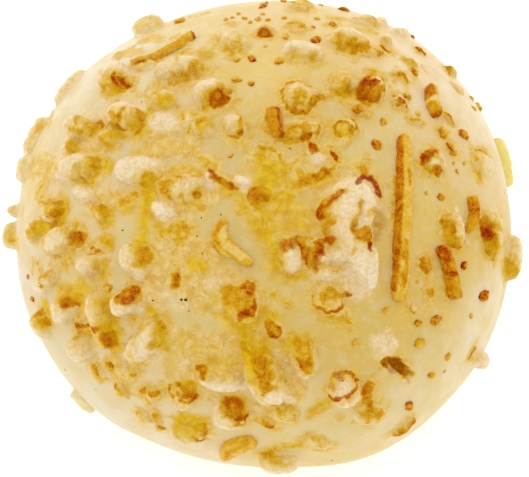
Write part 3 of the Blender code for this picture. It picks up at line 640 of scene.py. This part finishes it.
def hollows(mesh, places, normals, rounds):
    """How far each vertex lies below its surroundings, in millimetres."""
    ends = np.zeros(len(mesh.edges) * 2, int)
    mesh.edges.foreach_get("vertices", ends)
    first, second = ends.reshape(-1, 2).T
    count = np.bincount(ends, minlength=len(places))
    even = places.copy()
    for _ in range(rounds):
        total = np.empty_like(even)
        for axis in range(3):
            total[:, axis] = np.bincount(first, even[second, axis], len(even))
            total[:, axis] += np.bincount(second, even[first, axis], len(even))
        even = (even + total / count[:, None]) / 2
    return ((even - places) * normals).sum(1)


# ------------ finishes


def linear(hex_colour):
    """An sRGB hex colour as linear values with full opacity."""
    parts = (int(hex_colour[k : k + 2], 16) / 255 for k in (1, 3, 5))
    return tuple(p / 12.92 if p <= 0.04045 else ((p + 0.055) / 1.055) ** 2.4 for p in parts) + (1.0,)


def add_node(tree, kind, inputs=(), output=0, **settings):
    """Adds a shader node with its settings, sets or links its inputs, which come by name or in the order of the
    sockets, and gives the output that is asked for."""
    node = tree.nodes.new("ShaderNode" + kind)
    for key, value in settings.items():
        setattr(node, key, value)
    for key, value in inputs.items() if isinstance(inputs, dict) else enumerate(inputs):
        if isinstance(value, bpy.types.NodeSocket):
            tree.links.new(value, node.inputs[key])
        else:
            node.inputs[key].default_value = value
    return node.outputs[output] if node.outputs else None


def new_material(name):
    """An empty material, and add_node for it."""
    material = bpy.data.materials.new(name)
    material.use_nodes = True
    material.node_tree.nodes.clear()
    return material, partial(add_node, material.node_tree)


def toasting(node, place, toast, swing, curdling):
    """Toasting with its grain, mottling and curling creases: depth, colour, height for the bump, and the creases."""
    fine, broad = (node("TexNoise", {"Vector": place, "Scale": 1 / (size * MM), "Detail": 3.0}) for size in (0.5, 2.0))
    grain = node("Math", (fine, broad), operation="ADD")
    swung = node("MapRange", (grain, 0.65, 1.35, 1 - swing, 1 + swing))
    even = node("Math", (swung, toast), operation="MULTIPLY")
    # Creases: thin lines where curling noise crosses its middle, darker as the toasting deepens
    curls = node("TexNoise", {"Vector": place, "Scale": 1 / (2.1 * MM), "Detail": 2.5, "Distortion": 0.6})
    level = node("Math", (curls, 0.5), operation="SUBTRACT")
    away = node("Math", (level,), operation="ABSOLUTE")
    creases = node("MapRange", (away, 0.005, 0.045, 1.0, 0.0))
    darker = node("MapRange", (toast, 0.25, 0.6, 0.0, 0.15))
    extra = node("Math", (creases, darker), operation="MULTIPLY")
    deeper = node("Math", (even, extra), operation="ADD")
    # Curds: rounded cells, paler in the middle where the cheese has browned
    curds = node("TexVoronoi", {"Vector": place, "Scale": 1 / (1.5 * MM), "Smoothness": 0.5}, feature="SMOOTH_F1")
    paler = node("MapRange", (curds, 0.15, 0.6, -0.24, 0.03))
    curdled = node("MapRange", (toast, 0.2, 0.5, 0.0, curdling))
    paler = node("Math", (paler, curdled), operation="MULTIPLY")
    depth = node("Math", (deeper, paler), operation="ADD")
    ramp = node("ValToRGB", (node("Math", (depth, DEEPEST), operation="DIVIDE"),))
    elements = ramp.node.color_ramp.elements
    while len(elements) < len(TOASTING):
        elements.new(1.0)
    for element, (step, colour) in zip(elements, TOASTING):
        element.position = step / DEEPEST
        element.color = linear(colour)
    sunk = node("Math", (creases, 0.35), operation="MULTIPLY")
    domes = node("Math", (curds, curdling), operation="MULTIPLY")
    sunk = node("Math", (sunk, domes), operation="ADD")
    return depth, ramp, node("Math", (grain, sunk), operation="SUBTRACT"), creases


def soft_surface(node, colour, roughness, scatter, sink, height, strength, relief):
    """The satin, slightly see-through skin of dough and cheese: light sinks in and comes out warm, over fine relief."""
    look = {
        "Base Color": colour,
        "Roughness": roughness,
        "IOR": 1.45,
        "Specular IOR Level": 0.15,
        "Specular Tint": linear("#FFE6A0"),
        "Subsurface Weight": scatter,
        "Subsurface Radius": (1.0, 0.5, 0.2),
        "Subsurface Scale": sink * MM,
        "Normal": node("Bump", {"Height": height, "Strength": strength, "Distance": relief * MM}),
    }
    node("OutputMaterial", {"Surface": node("BsdfPrincipled", look)})


def baked_dough():
    """Soft wheat crust under melted cheese: creamy where bare, curdled on the lumps, grainy where it has browned."""
    material, node = new_material("baked_dough_with_melted_cheese")
    place = node("TexCoord", output="Object")
    names = ("toast", "cheese", "milk", "fat", "butter_and_hollow_shade", "film", "dough")
    carried = {name: node("Attribute", output="Fac", attribute_name=name) for name in names}
    colour = node("Attribute", attribute_name="bake")
    # Orange specks where the fat has run, on top of the toasting
    specks = node("TexNoise", {"Vector": place, "Scale": 1 / (0.42 * MM), "Detail": 2.0})
    extra = node("MapRange", (specks, 0.52, 0.72, 0.0, 0.22))
    extra = node("Math", (extra, carried["butter_and_hollow_shade"]), operation="MULTIPLY")
    toast = node("Math", (carried["toast"], extra), operation="ADD")
    depth, browned, grain, creases = toasting(node, place, toast, 0.13, 1.0)
    for layer in ("film", "cheese"):
        carried["creased " + layer] = node("Math", (creases, carried[layer]), operation="MULTIPLY")
    carried["browned"] = node("MapRange", (depth, 0.08, 0.5))
    for layer, size, low, high, first, second, cover in DOUGH_LAYERS:
        where = node("Math", (carried[layer], cover), operation="MULTIPLY")
        tint = browned
        if size:
            clouds = node("TexNoise", {"Vector": place, "Scale": 1 / (size * MM), "Detail": 4.0})
            share = node("MapRange", (clouds, low, high))
            tint = linear(second)
            if first:
                tint = node("Mix", {"Factor": share, 6: linear(first), 7: tint}, 2, data_type="RGBA")
            else:
                where = node("Math", (where, share), operation="MULTIPLY")
        colour = node("Mix", {"Factor": where, 6: colour, 7: tint}, 2, data_type="RGBA")
    crinkled = node("Math", (carried["cheese"], carried["film"]), operation="MAXIMUM")
    rough = node("MapRange", (crinkled, 0.0, 1.0, 0.3, 1.0))
    height = node("Math", (grain, rough), operation="MULTIPLY")
    gloss = node("MapRange", (carried["fat"], 0.0, 1.0, 0.45, 0.25))
    soft_surface(node, colour, gloss, 0.15, 0.8, height, 1.0, 0.2)
    return material


def cheese_finish(name, raw, swing, scatter):
    """Cheese that kept its shape: its own colour where raw, browned and slightly greasy where the heat caught it."""
    material, node = new_material(name)
    place = node("TexCoord", output="Object")
    toast = node("Attribute", output="Fac", attribute_name="toast")
    depth, browned, grain, _ = toasting(node, place, toast, swing, 0.3)
    share = node("MapRange", (depth, 0.1, 0.45))
    colour = node("Mix", {"Factor": share, 6: linear(raw), 7: browned}, 2, data_type="RGBA")
    soft_surface(node, colour, 0.4, scatter, 0.6, grain, 0.5, 0.14)
    return material


# ------------ crust with melted lumps
lump_nodes = sorted(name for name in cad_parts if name.startswith("lump_"))

crust = copy_of(["bun"], "crust")
finish_with(crust, "SUBSURF", levels=2, render_levels=2)
bare_tree = surface_tree(crust)

lumps = copy_of(lump_nodes, "lumps")
root_in_crust(lumps, ROOT_PINCH)
finish_with(lumps, "SUBSURF", levels=2, render_levels=2)


def small_lump(width, height, *places):
    """A stretched ball of cheese, half sunk in the crust."""
    centre, length, turn = seat(bare_tree, places)
    bpy.ops.mesh.primitive_ico_sphere_add(subdivisions=3, radius=1)
    ball = bpy.context.object
    half = Vector((length / 2 + width * MM / 2, width * MM / 2, height * MM))
    ball.data.transform(Matrix.Translation(centre) @ turn.to_4x4() @ Matrix.Diagonal((*half, 1)))
    return ball


bpy.ops.object.select_all(action="DESELECT")
small_lumps = join_as([small_lump(*row) for row in SMALL_LUMPS], "small_lumps")
crust = join_as([crust, lumps, small_lumps], "crust")
finish_with(crust, "REMESH", mode="VOXEL", voxel_size=VOXEL * MM)
finish_with(crust, "SMOOTH", factor=0.5, iterations=SMOOTHING_ROUNDS)


def thin_out(thing):
    """Joins up the faces of the plain crust and the underside, and leaves the fine ones where there is cheese."""
    brush = Brush(thing.data, 0.0)
    reach, unit = from_middle(thing.data)
    plain = reach - np.linalg.norm(bare_points(unit), axis=1) < PLAIN_RISE
    for _, width, *way in TOAST_STROKES + SMALL_LUMPS + WHITE_STROKES + GROOVES:
        near, mask = brush.mask(way, width + FINE_MARGIN, 0.9, 1.0)
        plain[near[mask > 0]] = False
    group = thing.vertex_groups.new(name="plain")
    group.add(np.where(plain)[0].tolist(), 1.0, "REPLACE")
    group.add(np.where(~plain)[0].tolist(), CHEESE_WEIGHT, "REPLACE")
    share = MOST_TRIANGLES / (2 * len(thing.data.polygons))
    if share < 1:
        finish_with(thing, "DECIMATE", ratio=share, vertex_group="plain", vertex_group_factor=10.0)
    thing.vertex_groups.clear()


thin_out(crust)

brush = Brush(crust.data, WANDER)
places = vertex_array(crust.data) / MM
normals = vertex_array(crust.data, "normal")
reach, unit = from_middle(crust.data)
bare_reach = np.array([(on_surface(bare_tree, Vector(u))[0] - MIDDLE).length for u in unit]) / MM
cheese = smoothstep(0.15, 0.9, reach - bare_reach)
uphill = crownward(normals, unit)

# Layers of colour, from 0 to 1: how far the heat, milk, fat, painted shade in the hollows and so on show at each vertex
toast = cheese * smoothstep(-0.1, 0.8, uphill) * 0.35
milk, fat, film, butter_and_hollow_shade = np.zeros((4, len(toast)))
bareness = np.ones(len(toast))


def each_stroke(rows, fade, margin=0.0):
    """The strokes of a table in turn: their value, the vertices they touch, and how strongly."""
    for value, width, *way in rows:
        yield value, *brush.mask(way, width + margin, *fade)


for strength, near, mask in each_stroke(WHITE_STROKES, MILK_FADE):
    milk[near] += (MILKINESS - milk[near]) * mask * strength
    toast[near] *= 1 - mask * strength
    film[near] = np.maximum(film[near], mask * strength)
for strength, near, mask in each_stroke(WHITE_STROKES, HALO_FADE, BARED_MARGIN):
    bareness[near] *= 1 - 0.4 * mask * strength
for strength, near, mask in each_stroke(MELT_STROKES, SHEET_FADE):
    bareness[near] *= 1 - 0.75 * mask * strength
for strength, near, mask in each_stroke(OIL_STROKES, OIL_FADE):
    fat[near] += (1 - fat[near]) * mask * strength
for width, *way in FLAKES:
    near, mask = brush.mask(way, width, *FLAKE_FADE)
    film[near] = np.maximum(film[near], mask)
    near, mask = brush.mask(way, width, *FLAKE_OIL_FADE)
    fat[near] *= 1 - 0.4 * mask
    milk[near] = np.maximum(milk[near], 0.2 * mask)
for strength, near, mask in each_stroke(WASH_STROKES, WASH_FADE, WASH_MARGIN):
    butter_and_hollow_shade[near] = np.maximum(butter_and_hollow_shade[near], mask * strength)
for depth, near, mask in each_stroke(TOAST_STROKES, HALO_FADE, HALO_MARGIN):
    butter_and_hollow_shade[near] = np.maximum(butter_and_hollow_shade[near], mask * min(max((depth - 0.3) / 0.35, 0), 1))
for depth, near, mask in each_stroke(TOAST_STROKES, RIM_FADE, FILM_MARGIN):
    film[near] = np.maximum(film[near], mask)
for depth, near, mask in each_stroke(TOAST_STROKES, HALO_FADE, BARED_MARGIN):
    bareness[near] *= 1 - 0.35 * mask
for depth, width, *way in TOAST_STROKES:
    near, mask = brush.mask(way, width, *(CORE_FADE if depth > CORE_DEPTH else SOFT_FADE))
    toast[near] += (depth - toast[near]) * mask
    milk[near] *= 1 - mask * 0.8
    fat[near] *= 1 - mask * 0.4
film = np.maximum(film, smoothstep(0.42, 0.56, 1 - bareness + 0.25 * swell_noise(places, 3.0, 2.0)))

# Relief: curds with creases between them, sheets, grooves, the torn hole and the crisp grain of the toasting.
# Each noise is scaled by its height and made of blobs of the size in the call.
curds = 0.45 * np.abs(swell_noise(places, 2.6)) + 0.2 * np.abs(swell_noise(places, 0.95, 5.0)) - 0.12
lift = curds * cheese + 0.25 * swell_noise(places, 9.0) + 0.12 * film * (1 - cheese)
lift += (0.5 * np.abs(swell_noise(places, 1.2, 9.0)) - 0.1) * film * 0.5
for depth, near, mask in each_stroke(GROOVES, GROOVE_FADE):
    lift[near] -= depth * mask
near, mask = brush.mask(TEAR, TEAR_HOLE[0], 0.55, 0.95)
lift[near] -= TEAR_HOLE[1] * mask
near, mask = brush.mask(TEAR, TEAR_LIP[0], *RIM_FADE)
toast[near] += (TEAR_LIP[1] - toast[near]) * mask
milk[near] *= 1 - mask
lift += swell_noise(places, 0.7) * 0.12 * smoothstep(0.3, 0.8, toast)
places += normals * lift[:, None]
places[:, 2] = np.maximum(places[:, 2], 0.0)
# Butter colour deepened in the hollows round the lumps and in the creases, more on the sides facing the crown: painted
# shade
sunk = smoothstep(0.02, 0.16, hollows(crust.data, places, normals, 8))
butter_and_hollow_shade = np.maximum(butter_and_hollow_shade, sunk * (0.35 + 0.6 * smoothstep(-0.3, 0.5, uphill)))
crust.data.vertices.foreach_set("co", (places * MM).ravel())

# Bare crust colour: the tints, each shared out by how near its place is
spots = bare_points(unit)
weights = np.zeros((len(spots), 1))
bake = np.zeros((len(spots), 3))
for colour, size, place in BAKE_TINTS:
    middle = bare_points(np.array([direction_of(*place)]))[0]
    weight = np.exp(-((spots - middle) ** 2).sum(1, keepdims=True) / size**2) + 1e-4
    bake += weight * np.array(linear(colour)[:3])
    weights += weight
attribute = crust.data.attributes.new("bake", "FLOAT_COLOR", "POINT")
attribute.data.foreach_set("color", np.c_[bake / weights, np.ones(len(bake))].astype(np.float32).ravel())
painted = {"cheese": cheese, "toast": toast, "milk": milk, "fat": fat, "butter_and_hollow_shade": butter_and_hollow_shade, "film": film}
for name, values in {**painted, "dough": np.ones(len(toast))}.items():
    store(crust.data, name, values)
crust_tree = surface_tree(crust)
finish_piece(crust, baked_dough(), ["bun", *lump_nodes])

# ------------ crumbs and specks
chance = random.Random(7)
bumps = bpy.data.textures.new("crumb_bumps", "CLOUDS")
bumps.noise_scale = 0.45


def crumb_model(seed):
    """One knobbly crumb, a unit across."""
    bpy.ops.object.select_all(action="DESELECT")
    bpy.ops.mesh.primitive_ico_sphere_add(subdivisions=2, radius=0.5)
    crumb = bpy.context.object
    bpy.ops.object.mode_set(mode="EDIT")
    bpy.ops.transform.vertex_random(offset=0.09, uniform=0.5, normal=0.5, seed=seed)
    bpy.ops.object.mode_set(mode="OBJECT")
    finish_with(crumb, "SUBSURF", levels=1, render_levels=1)
    finish_with(crumb, "DISPLACE", texture=bumps, strength=0.3, mid_level=0.5)
    return crumb


def strew(name, models, items, flatness, sink, material):
    """Copies of the models at places on the crust: items are size, depth of colour and place."""
    made = []
    for index, (size, depth, place) in enumerate(items):
        direction = direction_of(*place)
        centre, out = on_surface(crust_tree, direction)
        stand = out.to_track_quat("Z", "Y").to_matrix().to_4x4()
        spin = Matrix.Rotation(chance.uniform(0, 2 * math.pi), 4, "Z")
        stretch = chance.uniform(0.85, 1.2)
        form = Matrix.Diagonal((size * MM * stretch, size * MM / stretch, size * MM * flatness, 1))
        crumb = bpy.data.objects.new(name, models[index % len(models)].data.copy())
        bpy.context.scene.collection.objects.link(crumb)
        crumb.data.transform(Matrix.Translation(centre - out * size * MM * sink) @ stand @ spin @ form)
        # Each crumb's toasting is deeper on the side facing the crown, and paler on its outward top than on its sides,
        # which is painted highlight and painted shade
        lean = vertex_array(crumb.data, "normal")
        aim = np.repeat(np.array([direction]), len(lean), 0)
        store(crumb.data, "toast", depth * (0.85 + 0.35 * crownward(lean, aim) - 0.25 * (lean @ np.array(out))))
        made.append(crumb)
    finish_piece(join_as(made, name), material)


crumb_models = [crumb_model(seed) for seed in (3, 11, 19, 27)]
# Crumbs look crisp and brown, specks burnt nearly black
browner_crumbs = [(size, depth + 0.22, place) for size, depth, place in CRUMBS]
strew("crumbs", crumb_models, browner_crumbs, 0.85, 0.08, cheese_finish("toasted_crumbs", "#E8C278", 0.35, 0.15))
raw_specks = [(size, 0.0, place) for size, place in SPECKS]
strew("char_specks", crumb_models[:1], raw_specks, 0.5, 0.1, cheese_finish("charred_cheese", "#4A3418", 0.3, 0.0))
for model in crumb_models:
    bpy.data.objects.remove(model)

# ------------ grated strands
finishes = {key: cheese_finish(*values) for key, values in STRAND_FINISHES.items()}


def strand(node, slot, body, edge, width, hollow, fatten, *way):
    """A grated strand from its CAD form: bedded in the crust, slightly hollow on top, browned along its edges."""
    piece = copy_of([node], "strand_" + node.removeprefix("shred_"))
    root_in_crust(piece, STRAND_PINCH)
    finish_with(piece, "SUBSURF", levels=2, render_levels=2)
    finish_with(piece, "REMESH", mode="VOXEL", voxel_size=STRAND_VOXEL * MM)
    finish_with(piece, "SMOOTH", factor=0.5, iterations=2)
    brush = Brush(piece.data, STRAND_WANDER)
    places = vertex_array(piece.data) / MM
    toast = np.full(len(places), edge, float)
    near, mask = brush.mask(way, width, 0.75, 1.0)
    toast[near] += (body - edge) * mask
    lift = fatten + 0.28 * swell_noise(places, 2.0, 3.0) + 0.16 * swell_noise(places, 0.8, 4.0)
    near, mask = brush.mask(way, width, 0.2, 0.8)
    lift[near] -= hollow * mask
    for depth, spot_width, *spots in STRAND_TOAST.get(node, ()):
        near, mask = brush.mask(spots, spot_width, *GROOVE_FADE)
        toast[near] += (depth - toast[near]) * mask
    places += vertex_array(piece.data, "normal") * lift[:, None]
    piece.data.vertices.foreach_set("co", (places * MM).ravel())
    store(piece.data, "toast", toast)
    finish_piece(piece, finishes.get(node, finishes[slot]), [node])


for settings in STRANDS:
    strand(*settings)

# ------------ floor, light and camera
bpy.ops.object.select_all(action="DESELECT")
bpy.ops.mesh.primitive_plane_add(size=4.0)
floor = bpy.context.object
floor.name = "floor"
# A matt white table, lit a little from within so that it stays pale under the bun
material, node = new_material("white_table")
table_look = {
    "Base Color": linear("#F4F4F2"),
    "Roughness": 0.9,
    "Emission Color": linear("#FFFFFF"),
    "Emission Strength": 0.42,
}
node("OutputMaterial", {"Surface": node("BsdfPrincipled", table_look)})
floor.data.materials.append(material)

scene = bpy.context.scene
scene.view_settings.view_transform = "Standard"
# Soft light from every side, as in a tent
world = bpy.data.worlds.new("light_tent")
scene.world = world
world.use_nodes = True
world.node_tree.nodes.clear()
node = partial(add_node, world.node_tree)
lean = node("VectorMath", (node("TexCoord", output="Generated"), LIGHT_LEAN), "Value", operation="DOT_PRODUCT")
level = node("Math", (lean, LIGHT_LEVEL), operation="ADD")
level = node("Math", (level, LIGHT_PEAK), operation="MINIMUM")
node("OutputWorld", {"Surface": node("Background", {"Strength": level})})

tilt = math.radians(CAMERA_ELEVATION)
camera_data = bpy.data.cameras.new("camera")
camera_data.lens = LENS
camera_data.sensor_width = 36.0
camera_data.clip_start = 0.01
camera = bpy.data.objects.new("camera", camera_data)
scene.collection.objects.link(camera)
camera.location = CAMERA_TARGET + CAMERA_DISTANCE * Vector((0, -math.cos(tilt), math.sin(tilt)))
camera.rotation_euler = (math.pi / 2 - tilt, 0, 0)
scene.camera = camera
